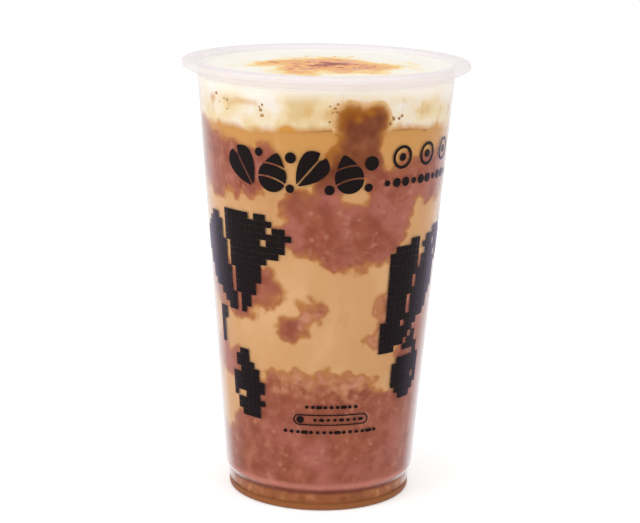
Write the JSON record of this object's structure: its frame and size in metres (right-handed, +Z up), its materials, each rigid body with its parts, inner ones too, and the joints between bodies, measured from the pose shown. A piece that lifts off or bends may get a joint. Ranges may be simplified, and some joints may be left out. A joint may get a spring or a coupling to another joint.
{
  "type": "taro bubble tea",
  "caption": "Taro milk tea in a clear plastic cup: mauve taro mash at the bottom and smeared on the wall, tan tea, and a torched cream top level with the rim.",
  "frame": {"origin": "centre of the ring that the cup stands on, on the table", "axes": "+Z up along the cup's axis, -Y towards the front of the print"},
  "size_m": [0.09, 0.09, 0.138],
  "materials": {
    "cup_plastic": "clear polypropylene, slightly milky, glossy",
    "print_ink": "near-black screen print on the outside of the wall, semi-matt",
    "milk_tea": "opaque tan milk tea, wet against the wall",
    "taro_mash": "mauve-brown taro mash, mottled, with ochre edges, wet against the wall",
    "cream": "soft milk cream with syrup stains and tiny bubbles",
    "caramel": "torched sugar, amber to dark brown, glassy"
  },
  "bodies": {
    "root": {"cup": "cup_plastic", "taro_bed": "taro_mash", "milk_tea": "milk_tea", "cream_top": "cream", "taro_smear_upper_left": "taro_mash", "taro_smear_plume": "taro_mash", "taro_smear_left": "taro_mash", "taro_smear_middle": "taro_mash", "taro_smear_lower_left": "taro_mash", "taro_smear_back_high": "taro_mash", "taro_smear_back_right": "taro_mash", "taro_smear_back_middle": "taro_mash", "taro_smear_back_left": "taro_mash", "taro_smear_side_left": "taro_mash"}
  },
  "joints": []
}
